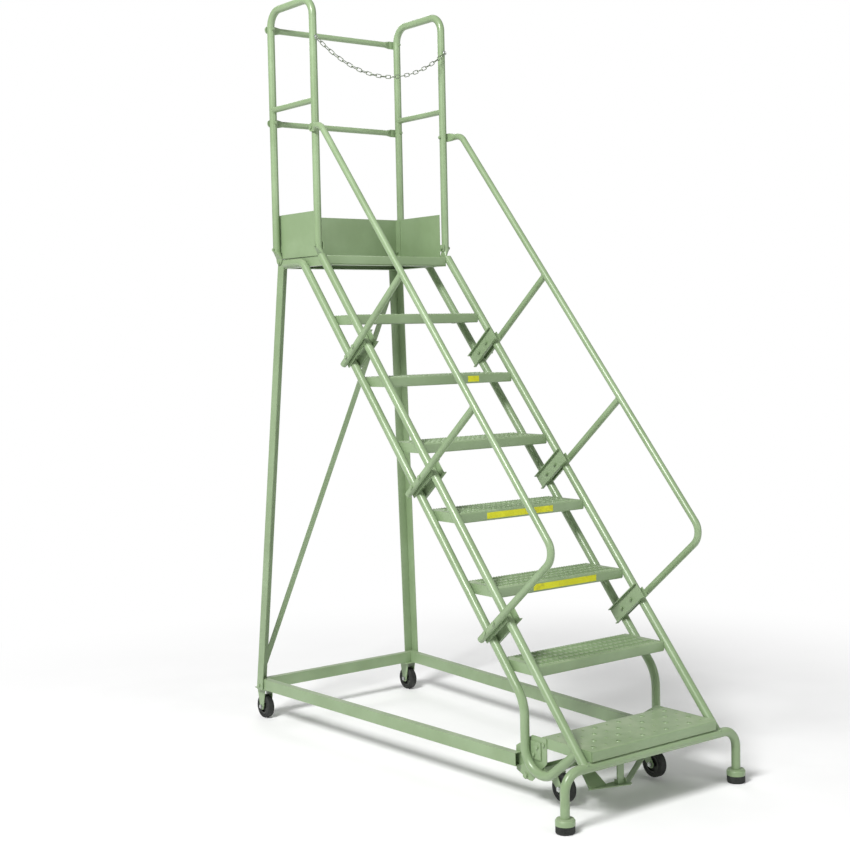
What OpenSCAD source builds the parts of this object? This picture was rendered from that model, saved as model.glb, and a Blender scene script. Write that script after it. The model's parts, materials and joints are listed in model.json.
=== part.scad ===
// Rolling warehouse ladder: seven treads, a guarded platform, two handrails,
// rear wheels, rubber front feet and a foot-operated carrier with two swivel casters.
// +Z is up, +X is the climber's right and the climb goes towards +Y.
// The origin lies on the floor, at the centre of the ladder's footprint.
// The rest state is parked: the rubber feet stand on the floor and the swivel casters hang clear.

/* [Stairs] */
// Height from one tread to the next
rise = 254; // [250:1:256]
// Horizontal distance from one tread to the next
run = 215.5; // [213:0.5:218]
// Distance between the centre lines of the two stringer sides
stringer_span = 668; // [640:1:700]
// Distance between the front and rear tube of one stringer, square to the slope
tube_gap = 125; // [115:1:135]
// Depth of an open-grid tread
tread_d = 203; // [190:1:206]
// Depth of the closed bottom tread
bottom_tread_d = 258; // [245:1:262]
// Height of the folded tread edges
tread_h = 38; // [34:1:40]
// Distance from one grid opening to the next along a tread
grid_pitch = 25.4; // [24:0.2:30]

/* [Tubes] */
// Outer diameter of the stringer tubes and of the foot tube
tube_d = 33.4; // [30:0.1:34]
// Outer diameter of the platform guard tubes
guard_d = 31.8; // [28:0.1:32]
// Outer diameter of the handrails and their struts
rail_d = 27; // [24:0.1:28]
// Outer diameter of the guard's bars
bar_d = 25.4; // [22:0.1:26]
// Wall thickness of every tube
wall = 2.4; // [2:0.1:3]

/* [Platform] */
// Depth of the platform
deck_d = 372; // [360:1:380]
// Height of the guard above the platform, to the tube's centre line
guard_h = 1068; // [1000:1:1100]
// Height of the toe boards
toe_h = 189; // [100:1:200]
// Drop of the chain below its two eyes
chain_sag = 132; // [100:1:160]
// Distance from one chain link to the next
chain_pitch = 25; // [20:1:30]

/* [Handrails] */
// Height of a handrail above the front stringer tube
rail_h = 615.5; // [580:0.5:640]
// Distance between two handrail struts, along the slope
strut_pitch = 658; // [650:1:666]

/* [Base] */
// Distance from the front feet to the rear axles
wheelbase = 2006.5; // [1990:0.5:2020]
// Overall width over the rear legs
leg_span = 868; // [860:1:876]
// Distance between the centres of the rubber feet
foot_span = 862; // [850:1:880]
// Diameter of the rubber feet
foot_d = 70; // [60:1:76]
// Diameter of the wheels
wheel_d = 102; // [100:1:102]
// Width of the wheels
wheel_w = 32; // [28:1:34]
// Angle through which the caster carrier turns between parked and rolling
carrier_swing = 11; // [9:0.5:11]

/* [Hidden] */
$fn = 48;
LEFT = -1;
RIGHT = 1;

// Colours
paint = [0.66, 0.76, 0.58];
black = [0.08, 0.09, 0.08];
dark_grey = [0.2, 0.21, 0.2];
steel = [0.75, 0.76, 0.75];
yellow = [0.92, 0.87, 0.15];

// Clearances and sheet thicknesses
gap = 0.1;            // between two pieces that touch or are welded
run_gap = 0.05;       // radial clearance of a turning fit
sheet = 2.6;          // folded sheet of treads and boards
angle_t = 4;          // angle iron
rail_t = 2.5;         // base rails
plate_t = 3.2;        // brackets
flat_t = 5;           // a tube end pressed flat
bend_swell = 0.4;     // a bend is this much thicker than the straights beside it
bend_overlap = 0.4;   // and they run this far into it

// Stringers
slope = atan(rise / run);
stringer_x = stringer_span / 2;
inner_x = stringer_x - (tube_d + bend_swell) / 2 - gap;
outer_x = stringer_x + (tube_d + bend_swell) / 2 + gap;
foot_z = 201;
foot_y = -(wheelbase + wheel_d / 2 - foot_d / 2) / 2;
axle_y = foot_y + wheelbase;
riser_y = foot_y + 311.5;
riser_bend = 150;
sled_bend = 90;
sled_low_z = 126;
sled_angle = 38;
sled_corner_z = sled_low_z - sled_bend * (tan((90 + sled_angle) / 2) - 1);
tread_nose = 10;
bottom_step_y = foot_y - 12;
bottom_step_z = rise + 3;
bottom_hole_pitch = 60;

// Platform
deck_z = 8 * rise;
deck_h = 39;
deck_front_y = front_y(deck_z) - tread_nose;
deck_back_y = deck_front_y + deck_d;
deck_bend = 60;

// Guard
post_x = 337.5;
post_front_y = deck_front_y + 28;
post_back_y = deck_back_y - 12;
post_top_z = deck_z + guard_h;
post_flat_x = post_x - guard_d / 2 + 1;
post_flat_w = 42;
post_low_z = deck_z - 22;
post_squeeze_z = deck_z + 4;
post_round_z = deck_z + 34;
post_bolt_z = [deck_z - 13, deck_z + 43];
guard_bend = 70;
mid_rail_z = deck_z + 647;
bar_z = [deck_z + 592, deck_z + 994];
bar_y = post_back_y + (guard_d + bend_swell) / 2 + gap + flat_t / 2;
toe_z = deck_z + 3;
toe_x = post_x - guard_d / 2 - gap;

// Chain
eye_y = post_front_y - guard_d / 2 - 10;
eye_z = deck_z + 900;
eye_r = 7;
eye_wire = 3.2;
eye_stud_d = 6;
link_wire = 3.4;
link_w = 17;
link_seam = 0.06;
link_play = 0.3;
chain_a = post_x * post_x / (2 * chain_sag) + chain_sag / 6;
chain_half = chain_a * sinh(post_x / chain_a);
chain_links = 2 * round(chain_half / chain_pitch - 0.5) + 1;
link_step = (2 * chain_half - link_wire) / (chain_links);

// Handrails
rail_x = 369;
rail_bend = 62;
rail_top_z = deck_z + 532;
rail_off = rail_h * cos(slope);
rail_end_off = tube_gap + 22;
clamp_t0 = 611.7;
clamp_at = [for (i = [0:2]) clamp_t0 + i * strut_pitch];
clamp_bolt_u = [30, 95];
clamp_w = 65;
saddle_w = 42;

// Base frame
leg_w = 46;
leg_top_z = deck_z - 1;
leg_top_x = inner_x + angle_t + 1.5 * gap;
leg_bottom_x = leg_span / 2;
leg_bottom_y = axle_y + 10;
leg_top_y = deck_back_y + gap + angle_t + 0.4;
rail_low_z = 132.7;
rail_high_z = 180.5;
rail_w = 28;
plate_x = inner_x - gap;
rail_front_x = plate_x + gap + rail_w;
rail_back_x = leg_bottom_x - angle_t - 3.2;
rail_front_y = riser_y + 43;
rail_back_y = leg_bottom_y - angle_t - 5;
rail_splay = atan((rail_back_x - rail_front_x) / (rail_back_y - rail_front_y));
leg_bolt = [leg_bottom_x - 0.5, leg_bottom_y - 20, 150];
plate_bolts = [[riser_y - 50, 218], [riser_y - 32, 189]];
step_bolt = [riser_y - 80, 230];

// Wheels, casters and carrier, the last two drawn in the rolling state
wheel_r = wheel_d / 2;
hub_r = 34;
axle_r = 6;
fork_t = 3;
fork_x = wheel_w / 2 + 2.5;
rear_wheel_x = 396;
rear_wheel_z = wheel_r;
pivot_y = riser_y + 18;
pivot_z = 101;
pivot_r = 6;
caster_x = 230;
caster_trail = 31;
rolling_axle_y = pivot_y - 96.3;
rolling_axle_z = wheel_r - 10;
swivel_y = rolling_axle_y + caster_trail;
swivel_r = 6;
crown_z = rolling_axle_z + wheel_r + 3;
race_z = crown_z + 3;
caster_plate_z = race_z + 6;
carrier_z = caster_plate_z + 4;
arm_x = plate_x - plate_t - gap;

// Latch, parked state
strap_w = 32;
strap_t = 5;
strap_x = -40;
strap_y = foot_y + 131;
strap_pin_z = 68;
strap_top_z = 248;
guide_z = 200;
latch_drop = strap_pin_z - pivot_z + (pivot_y - strap_y) * sin(carrier_swing)
    + (pivot_z - strap_pin_z) * cos(carrier_swing);

// Centre line of the front stringer tubes, and of the rear ones, at height z
function front_y(z) = foot_y + (z - foot_z) / tan(slope);
function rear_y(z) = front_y(z) + tube_gap / sin(slope);
// Height at which the rear line passes y
function rear_z(y) = foot_z + (y - foot_y - tube_gap / sin(slope)) * tan(slope);
// A point t up the slope from the foot and u square to it, towards the rear tube
function on_slope(t, u) = [
    foot_y + t * cos(slope) + u * sin(slope),
    foot_z + t * sin(slope) - u * cos(slope)
];
// How far up the slope the handrail line passes height z
function rail_t(z) = (z - foot_z - rail_off * cos(slope)) / sin(slope);
function sinh(v) = (exp(v) - exp(-v)) / 2;
function asinh(v) = ln(v + sqrt(v * v + 1));
function heading(a, b) = atan2(b[1] - a[1], b[0] - a[0]);
// Signed turn at b on the way from a to c, between -180 and 180 degrees
function turn(a, b, c) = let (d = heading(b, c) - heading(a, b)) d - 360 * round(d / 360);
// Length of straight tube that a bend at point i takes up
function setback(p, radii, i) =
    i == 0 || i == len(p) - 1 ? 0 : radii[i] * tan(abs(turn(p[i - 1], p[i], p[i + 1])) / 2);

module on_side(side) { mirror([side == LEFT ? 1 : 0, 0, 0]) children(); }

// Turns a drawing in X and Y into one in Y and Z, in the plane at the given x
module side_plane(x) { translate([x, 0, 0]) rotate([90, 0, 90]) children(); }

// Turns a drawing in X and Y into one in X and Z, in the plane at the given y
module front_plane(y) { translate([0, y, 0]) rotate([90, 0, 0]) children(); }

module ring(od, thick) {
    difference() {
        circle(d = od);
        circle(d = od - 2 * thick);
    }
}

module straight(a, b, od, thick) {
    translate([a[0], a[1], 0]) rotate([0, 0, heading(a, b)]) rotate([0, 90, 0])
        linear_extrude(norm(b - a)) ring(od, thick);
}

module rod(a, b, d) {
    translate([a[0], a[1], 0]) rotate([0, 0, heading(a, b)]) rotate([0, 90, 0]) cylinder(d = d, h = norm(b - a));
}

// A bent tube through the points p, drawn in X and Y; radii holds one value per point
module tube_path(p, radii, od, thick = wall) {
    translate([p[0][0], p[0][1], 0]) rotate([0, 0, heading(p[0], p[1])]) difference() {
        tube_leg(p, radii, od, 0, 0);
        tube_leg(p, radii, od - 2 * thick, 1, 0);
    }
}

// The straight length after point i along X, then its bend and all that follows, as a solid bar.
// over makes both free ends that much longer.
module tube_leg(p, radii, d, over, i) {
    last = i == len(p) - 2;
    length = norm(p[i + 1] - p[i]) - setback(p, radii, i) - setback(p, radii, i + 1);
    before = i == 0 ? over : bend_overlap;
    after = last ? over : bend_overlap;
    translate([-before, 0, 0]) rotate([0, 90, 0]) cylinder(d = d, h = before + length + after);
    if (!last) {
        angle = turn(p[i], p[i + 1], p[i + 2]);
        radius = radii[i + 1];
        way = sign(angle);
        translate([length, way * radius, 0]) {
            rotate([0, 0, way > 0 ? -90 : 90 + angle])
                rotate_extrude(angle = abs(angle)) translate([radius, 0]) circle(d = d + bend_swell);
            rotate([0, 0, angle]) translate([0, -way * radius, 0]) tube_leg(p, radii, d, over, i + 1);
        }
    }
}

// A tube end pressed flat: from a round section at the origin, along +Z, to a lug
// that is w wide in Y, with its flat at x = off and a hole at each height in holes
module pressed_end(od, w, off, squeeze, length, holes, hole_d) {
    hull() {
        translate([0, 0, -1]) cylinder(d = od - 2 * gap, h = 1, $fn = 32);
        translate([off - flat_t / 2, -w / 2, squeeze - 0.5]) cube([flat_t, w, 0.5]);
    }
    difference() {
        union() {
            translate([off - flat_t / 2, -w / 2, squeeze]) cube([flat_t, w, length - w / 2]);
            translate([off - flat_t / 2, 0, squeeze + length - w / 2])
                rotate([0, 90, 0]) cylinder(d = w, h = flat_t);
        }
        for (h = holes)
            translate([off - flat_t, 0, h]) rotate([0, 90, 0]) cylinder(d = hole_d, h = 2 * flat_t);
    }
}

// Bolt and nut along +X: the head's underside is at x = 0 and the nut's face at x = -grip
module bolt(grip, d = 8) {
    af = 1.6 * d;
    rotate([0, 90, 0]) cylinder(d = af / cos(30), h = 0.62 * d, $fn = 6);
    translate([-grip - 1.1 * d, 0, 0]) rotate([0, 90, 0]) cylinder(d = d, h = grip + 1.1 * d);
    translate([-grip, 0, 0]) rotate([0, -90, 0]) difference() {
        cylinder(d = af / cos(30), h = 0.8 * d, $fn = 6);
        translate([0, 0, -1]) cylinder(d = d + gap, h = d + 2);
    }
}

module bolt_hole(length, d = 8) { rotate([0, 90, 0]) cylinder(d = d + 4 * gap, h = length, center = true); }

// ---- Stringers -------------------------------------------------------------

module front_stringer(side) {
    top_z = deck_z + 8;
    back_y = post_front_y - post_flat_w / 2 - 2 * gap;
    top_t = (top_z - foot_z) / sin(slope);
    color(paint) on_side(side) difference() {
        union() {
            side_plane(stringer_x) straight([foot_y, foot_z], on_slope(top_t + 40, 0), tube_d, wall);
            intersection() {
                side_plane(stringer_x) rod(on_slope(top_t - 60, 0), on_slope(top_t + 40, 0), tube_d - wall);
                translate([stringer_x - tube_d, foot_y, top_z - wall]) cube([2 * tube_d, 3000, 2 * wall]);
            }
        }
        translate([stringer_x - tube_d, foot_y, foot_z])
            rotate([0, 90, 0]) cylinder(d = tube_d + 2 * gap, h = 2 * tube_d);
        translate([stringer_x - tube_d, foot_y - tube_d, top_z]) cube([2 * tube_d, 3000, 100]);
        translate([stringer_x - tube_d, back_y, deck_z - 200]) cube([2 * tube_d, 200, 400]);
    }
}

module rear_stringer(side) {
    reach = (riser_y - foot_y - (sled_corner_z - foot_z) / tan(slope))
        / (cos(sled_angle) + sin(sled_angle) / tan(slope));
    low_end = [riser_y - reach * cos(sled_angle), sled_corner_z + reach * sin(sled_angle)];
    top_z = deck_z - 21;
    path = [
        low_end,
        [riser_y, sled_corner_z],
        [riser_y, rear_z(riser_y)],
        [rear_y(top_z), top_z],
        [deck_back_y - 74, top_z]
    ];
    color(paint) on_side(side) {
        difference() {
            side_plane(stringer_x) tube_path(path, [0, sled_bend, riser_bend, deck_bend, 0], tube_d);
            side_plane(stringer_x) rod([foot_y, foot_z], on_slope(500, 0), tube_d + 2 * gap);
        }
        plate_lug();
    }
}

// Lug on the riser that carries the base plate
module plate_lug() {
    difference() {
        translate([inner_x + gap, riser_y - 68, 172]) cube([4, 54, 64]);
        for (b = plate_bolts) translate([inner_x, b[0], b[1]]) bolt_hole(20);
        translate([stringer_x, riser_y, 100]) cylinder(d = tube_d - 1, h = 200);
    }
}

// ---- Front feet ------------------------------------------------------------

module foot_tube() {
    half = foot_span / 2;
    low_z = 30;
    path = [[-half, low_z], [-half, foot_z], [half, foot_z], [half, low_z]];
    color(paint) front_plane(foot_y) tube_path(path, [0, 66, 66, 0], tube_d);
}

module foot_collars() {
    color(paint) for (x = [-1, 1] * foot_span / 2) translate([x, foot_y, 28]) difference() {
        rotate_extrude() {
            square([foot_d / 2 - 4, 22]);
            square([foot_d / 2, 14]);
            translate([foot_d / 2 - 6, 14]) circle(r = 6);
        }
        translate([0, 0, 2]) cylinder(d = tube_d + 2 * gap, h = 40);
    }
}

module rubber_foot(side) {
    round_r = 4;
    r = foot_d / 2 - 1;
    color(black) translate([side * foot_span / 2, foot_y, 0]) rotate_extrude() {
        square([r - round_r, 28 - gap]);
        translate([0, round_r]) square([r, 28 - gap - round_r]);
        translate([r - round_r, round_r]) circle(r = round_r);
    }
}

// ---- Treads ----------------------------------------------------------------

module grid_opening() {
    w = 17.5;
    half = 20;
    taper = 12;
    polygon([
        [0, -half], [w / 2, taper - half], [w / 2, half - taper],
        [0, half], [-w / 2, half - taper], [-w / 2, taper - half]
    ]);
}

// Folded pan with its front top edge on the X axis
module pan(width, depth, height, lip = 14) {
    translate([-width / 2, 0, 0]) rotate([90, 0, 90]) linear_extrude(width) {
        translate([0, -sheet]) square([depth, sheet]);
        for (y = [0, depth - sheet]) translate([y, -height]) square([sheet, height]);
        translate([0, -height]) square([lip, sheet]);
        translate([depth - lip, -height]) square([lip, sheet]);
    }
}

// Pan with a staggered grid of openings
module grid_pan(width, depth, height, rows) {
    cols = floor((width - 24) / grid_pitch);
    row_pitch = (depth - 26) / rows;
    difference() {
        pan(width, depth, height);
        translate([0, 0, -2 * sheet]) linear_extrude(4 * sheet)
            for (r = [0:rows - 1], c = [0:cols - 1 - r % 2])
                translate([
                    (c - (cols - 1 - r % 2) / 2) * grid_pitch,
                    13 + (r + 0.5) * row_pitch
                ]) grid_opening();
    }
}

module end_plates(half, depth, height, thick) {
    for (x = [-half, half - thick]) translate([x, sheet, -height]) cube([thick, depth - 2 * sheet, height - sheet]);
}

module grid_step(n) {
    z = n * rise;
    color(paint) translate([0, front_y(z) - tread_nose, z]) {
        grid_pan(2 * inner_x, tread_d, tread_h, 4);
        end_plates(inner_x, tread_d, tread_h, sheet);
    }
}

module bottom_step() {
    half = plate_x - plate_t - gap;
    cols = 10;
    rows = 4;
    color(paint) translate([0, bottom_step_y, bottom_step_z]) difference() {
        union() {
            pan(2 * half, bottom_tread_d, tread_h);
            end_plates(half, bottom_tread_d, tread_h, sheet);
        }
        for (c = [0:cols - 1], r = [0:rows - 1])
            translate([
                (c - (cols - 1) / 2) * bottom_hole_pitch,
                bottom_tread_d / 2 + (r - (rows - 1) / 2) * bottom_hole_pitch,
                -2 * sheet
            ]) cylinder(d = (c + r) % 2 == 0 ? 11 : 5, h = 4 * sheet);
        for (side = [LEFT, RIGHT])
            translate([side * half, step_bolt[0] - bottom_step_y, step_bolt[1] - bottom_step_z]) bolt_hole(20);
    }
}

module marking_strips() {
    t = 0.8;
    h = 24;
    spots = [[3, 15, 320], [4, -16, 336], [6, 112, 58]];
    color(yellow) for (s = spots)
        translate([s[1] - s[2] / 2, front_y(s[0] * rise) - tread_nose - t - gap / 2, s[0] * rise - 7 - h])
            cube([s[2], t, h]);
}

// ---- Platform --------------------------------------------------------------

module platform_deck() {
    half = inner_x - sheet - 2 * gap;
    color(paint) translate([0, deck_front_y, deck_z]) grid_pan(2 * half, deck_d, deck_h - sheet - gap, 9);
}

module platform_frame() {
    flange = 30;
    low_z = deck_z - deck_h;
    color(paint) difference() {
        union() {
            for (side = [LEFT, RIGHT]) on_side(side) {
                translate([inner_x - sheet, deck_front_y, low_z]) cube([sheet, deck_d, deck_h]);
                translate([inner_x - flange, deck_front_y, low_z]) cube([flange, deck_d, sheet]);
            }
            for (y = [deck_front_y, deck_back_y - flange])
                translate([-inner_x, y, low_z]) cube([2 * inner_x, flange, sheet]);
        }
        for (side = [LEFT, RIGHT]) on_side(side) {
            for (y = [post_front_y, post_back_y]) translate([inner_x, y, post_bolt_z[0]]) bolt_hole(30);
        }
    }
}

// Side toe board, with a tab at each end that is bolted to a guard post
module toe_board_side(side) {
    tab_z = post_bolt_z[1] - 15;
    front = post_front_y + 16;
    back = post_back_y - 20;
    color(paint) on_side(side) difference() {
        union() {
            translate([toe_x - sheet, front, toe_z]) cube([sheet, back - front, toe_h]);
            translate([toe_x - sheet, post_front_y - 14, tab_z])
                cube([sheet, post_back_y - post_front_y + 28, 30]);
        }
        for (y = [post_front_y, post_back_y]) translate([toe_x, y, post_bolt_z[1]]) bolt_hole(20);
        translate([toe_x - 10, front, toe_z]) rotate([-90, -90, -90]) linear_extrude(20)
            polygon([[-1, -1], [22, -1], [-1, 24]]);
    }
}

module toe_board_rear() {
    half = toe_x - sheet - gap;
    fold = 34;
    color(paint) difference() {
        union() {
            translate([-half, deck_back_y - sheet, toe_z]) cube([2 * half, sheet, toe_h]);
            for (x = [-half, half - sheet])
                translate([x, deck_back_y - fold, toe_z]) cube([sheet, fold, toe_h]);
        }
        for (side = [LEFT, RIGHT])
            translate([side * half, post_back_y, post_bolt_z[1]]) bolt_hole(20);
    }
}

// ---- Platform guard --------------------------------------------------------

module guard_frame(side) {
    path = [
        [post_front_y, post_round_z], [post_front_y, post_top_z],
        [post_back_y, post_top_z], [post_back_y, post_round_z]
    ];
    flat_off = post_x - post_flat_x - flat_t / 2;
    squeeze = post_round_z - post_squeeze_z;
    length = post_squeeze_z - post_low_z;
    color(paint) on_side(side) difference() {
        union() {
            side_plane(post_x) tube_path(path, [0, guard_bend, guard_bend, 0], guard_d);
            for (y = [post_front_y, post_back_y])
                translate([post_x, y, post_round_z]) rotate([0, 180, 0])
                    pressed_end(guard_d, post_flat_w, flat_off, squeeze, length,
                        [post_round_z - post_bolt_z[0]], 8 + 4 * gap);
        }
        for (y = [post_front_y, post_back_y]) translate([post_x, y, post_bolt_z[1]]) bolt_hole(60);
        translate([post_x, post_front_y, eye_z + eye_r]) rotate([0, 0, 90]) bolt_hole(60, eye_stud_d);
        translate([post_x, post_front_y, rail_top_z]) bolt_hole(60);
        for (z = bar_z) translate([post_x, post_back_y, z]) rotate([0, 0, 90]) bolt_hole(60);
    }
}

module mid_rails() {
    color(paint) for (x = [-post_x, post_x]) difference() {
        side_plane(x) straight([post_front_y, mid_rail_z], [post_back_y, mid_rail_z], bar_d, wall);
        for (y = [post_front_y, post_back_y])
            translate([x, y, mid_rail_z - 50]) cylinder(d = guard_d + 2 * gap, h = 100);
    }
}

// Bar across the two rear posts, with both ends pressed flat and bolted
module crossbar(z) {
    squeeze = 24;
    lug = 50;
    half = post_x - 32;
    color(paint) translate([0, bar_y, z]) {
        rotate([0, 90, 0]) linear_extrude(2 * (half - squeeze), center = true) ring(bar_d, wall);
        for (side = [LEFT, RIGHT]) on_side(side)
            translate([half - squeeze, 0, 0]) rotate([0, 90, 0]) rotate([0, 0, 90])
                pressed_end(bar_d, 34, 0, squeeze, lug, [post_x - half + squeeze], 8 + 4 * gap);
    }
}

// ---- Handrails -------------------------------------------------------------

module handrail(side) {
    top_t = rail_t(rail_top_z);
    path = [
        [post_front_y - 48, rail_top_z],
        on_slope(top_t, -rail_off),
        on_slope(clamp_at[0], -rail_off),
        on_slope(clamp_at[0], rail_end_off)
    ];
    flat_off = rail_x - post_x - guard_d / 2 - gap - flat_t / 2;
    color(paint) on_side(side) difference() {
        union() {
            side_plane(rail_x) tube_path(path, [0, rail_bend, rail_bend, 0], rail_d);
            translate([rail_x, post_front_y - 48, rail_top_z]) rotate([90, 0, 180])
                pressed_end(rail_d, 36, flat_off, 26, 40, [48], 8 + 4 * gap);
        }
        clamp_bolt_holes(clamp_at[0]);
    }
}

module clamp_bolt_holes(t) {
    for (u = clamp_bolt_u) side_plane(rail_x) translate([on_slope(t, u)[0], on_slope(t, u)[1], 0])
        cylinder(d = 8 + 4 * gap, h = 60, center = true);
}

module handrail_struts() {
    color(paint) for (side = [LEFT, RIGHT], i = [1, 2]) on_side(side) difference() {
        side_plane(rail_x)
            straight(on_slope(clamp_at[i], -rail_off), on_slope(clamp_at[i], rail_end_off), rail_d, wall);
        side_plane(rail_x) rod(on_slope(0, -rail_off), on_slope(3000, -rail_off), rail_d + 2 * gap);
        clamp_bolt_holes(clamp_at[i]);
    }
}

// Draws in the side plane at x, with local X square to the slope and local Y up the slope
module slope_frame(x, t) {
    side_plane(x) translate([on_slope(t, 0)[0], on_slope(t, 0)[1], 0]) rotate([0, 0, slope - 90]) children();
}

// Channel inside the two stringer tubes, and saddle plate outside them, at each strut
module rail_clamps() {
    front = -34;
    length = tube_gap + 64;
    flange = 14;
    color(paint) for (side = [LEFT, RIGHT], t = clamp_at) on_side(side) {
        slope_frame(inner_x - plate_t, t) difference() {
            union() {
                translate([front, -clamp_w / 2, 0]) cube([length, clamp_w, plate_t]);
                for (v = [-clamp_w / 2, clamp_w / 2 - plate_t])
                    translate([front, v, plate_t - flange]) cube([length, plate_t, flange]);
            }
            for (u = clamp_bolt_u) translate([u, 0, -10]) cylinder(d = 8 + 4 * gap, h = 20);
        }
        slope_frame(outer_x, t) difference() {
            translate([-tube_d / 2, -saddle_w / 2, 0])
                cube([tube_gap + tube_d, saddle_w, rail_x - rail_d / 2 - gap - outer_x]);
            for (u = clamp_bolt_u) translate([u, 0, -10]) cylinder(d = 8 + 4 * gap, h = 20);
        }
    }
}

// ---- Base frame ------------------------------------------------------------

leg_rise = leg_top_z - rail_low_z;
leg_shift_x = leg_bottom_x - leg_top_x;
leg_shift_y = leg_bottom_y - leg_top_y;
leg_len = norm([leg_rise, leg_shift_x, leg_shift_y]);
leg_pitch = asin(leg_shift_y / leg_len);
leg_roll = -asin(leg_shift_x / (leg_len * cos(leg_pitch)));

module corner_section(w, t) {
    translate([-t, -w]) square([t, w]);
    translate([-w, -t]) square([w, t]);
}

// Splayed angle-iron leg; its outer flange laps the base rail and the platform's side
module rear_leg(side) {
    over = 60;
    color(paint) on_side(side) difference() {
        translate([leg_bottom_x, leg_bottom_y, rail_low_z]) rotate([leg_pitch, leg_roll, 0])
            translate([0, 0, -over]) linear_extrude(leg_len + 2 * over) corner_section(leg_w, angle_t);
        translate([0, 0, leg_top_z]) cube([1000, 2000, 200]);
        translate([0, 0, rail_low_z - 200]) cube([1000, 2000, 200]);
        translate([inner_x, post_back_y, post_bolt_z[0]]) bolt_hole(40);
        translate(leg_bolt) bolt_hole(40);
        brace_frame() for (p = brace_ends) if (p[0] * side > 0)
            translate([side * p[0], 0, p[1]]) rotate([0, 0, 90]) bolt_hole(60, 6);
    }
}

// Local XZ plane that lies against the rear faces of the legs; heights count from the leg's foot
brace_ends = [[-403, 75], [300, 1790]];
module brace_frame() {
    translate([0, leg_bottom_y + 2, rail_low_z]) rotate([leg_pitch, 0, 0]) children();
}

module rear_brace() {
    w = 26;
    t = 4;
    low = brace_ends[0];
    high = brace_ends[1];
    color(paint) brace_frame() rotate([90, 0, 0]) translate([0, 0, -t]) difference() {
        translate([low[0], low[1], 0]) rotate([0, 0, heading(low, high)])
            translate([-16, -w / 2, 0]) cube([norm(high - low) + 32, w, t]);
        for (p = brace_ends) translate([p[0], p[1], -1]) cylinder(d = 6 + 4 * gap, h = t + 2);
    }
}

// Rectangular tube from the base plate back to the foot of the rear leg
module base_rail(side) {
    length = (rail_back_y - rail_front_y) / cos(rail_splay);
    color(paint) on_side(side) difference() {
        translate([rail_front_x, rail_front_y, rail_low_z]) rotate([0, 0, -rail_splay]) difference() {
            translate([-rail_w, 0, 0]) cube([rail_w, length, rail_high_z - rail_low_z]);
            translate([rail_t - rail_w, -1, rail_t])
                cube([rail_w - 2 * rail_t, length + 2, rail_high_z - rail_low_z - 2 * rail_t]);
        }
        translate(leg_bolt) bolt_hole(60);
    }
}

module base_rail_rear() {
    half = rail_back_x - rail_w / cos(rail_splay) - rail_w * tan(rail_splay) - gap;
    height = rail_high_z - rail_low_z;
    color(paint) translate([-half, rail_back_y - rail_w, rail_low_z]) difference() {
        cube([2 * half, rail_w, height]);
        translate([-1, rail_t, rail_t]) cube([2 * half + 2, rail_w - 2 * rail_t, height - 2 * rail_t]);
    }
}

// Bracket between the riser, the bottom tread, the base rail and the caster carrier
module base_plates() {
    front = riser_y - 95;
    back = riser_y + 70;
    outline = [
        [front, 255], [riser_y - 20, 255], [back, 200], [back, 112],
        [riser_y + 4, 86], [riser_y - 14, 86], [front, 165]
    ];
    color(paint) for (side = [LEFT, RIGHT]) on_side(side) difference() {
        side_plane(plate_x - plate_t) linear_extrude(plate_t) polygon(outline);
        for (b = concat(plate_bolts, [step_bolt])) translate([plate_x, b[0], b[1]]) bolt_hole(20);
        translate([plate_x, pivot_y, pivot_z]) rotate([0, 90, 0])
            cylinder(r = pivot_r + gap, h = 20, center = true);
    }
}

// ---- Wheels ----------------------------------------------------------------

module tyre(x, y, z) {
    shoulder = 7;
    half = wheel_w / 2;
    color(black) translate([x, y, z]) rotate([0, 90, 0]) rotate_extrude() difference() {
        union() {
            translate([hub_r + run_gap, -half]) square([wheel_r - shoulder - hub_r - run_gap, wheel_w]);
            translate([hub_r + run_gap, shoulder - half])
                square([wheel_r - hub_r - run_gap, wheel_w - 2 * shoulder]);
            for (s = [-1, 1]) translate([wheel_r - shoulder, s * (half - shoulder)]) circle(r = shoulder);
        }
        translate([0, -wheel_w]) square([hub_r + run_gap, 2 * wheel_w]);
    }
}

module hub(x, y, z) {
    rim = 6;
    boss = 13;
    bore = axle_r + run_gap;
    color(dark_grey) translate([x, y, z]) rotate([0, 90, 0]) rotate_extrude() {
        translate([bore, -wheel_w / 2 - 1.5]) square([boss - bore, wheel_w + 3]);
        translate([bore, -4]) square([hub_r - bore, 8]);
        translate([hub_r - rim, 2 - wheel_w / 2]) square([rim, wheel_w - 4]);
    }
}

// Axle bolt with its head outside one fork leg and its nut outside the other
module axle(x, y, z) {
    half = fork_x + fork_t;
    color(steel) translate([x, y, z]) rotate([0, 90, 0]) {
        cylinder(r = axle_r, h = 2 * half + 18, center = true);
        translate([0, 0, half + gap]) cylinder(d = 20, h = 5, $fn = 6);
        translate([0, 0, -half - gap - 8]) cylinder(d = 20, h = 8, $fn = 6);
    }
}

// Two fork legs around the wheel: from the axle up to a crown at top_z, whose centre is off behind it
module fork_legs(x, y, z, off, top_z, top_w) {
    outline = [[-15, 0], [off - top_w / 2, top_z - z], [off + top_w / 2, top_z - z], [15, 0]];
    for (s = [fork_x, -fork_x - fork_t]) translate([x + s, y, z]) difference() {
        rotate([90, 0, 90]) linear_extrude(fork_t) {
            polygon(outline);
            circle(r = 15);
        }
        rotate([0, 90, 0]) cylinder(r = axle_r + gap / 2, h = 20, center = true);
    }
}

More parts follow.
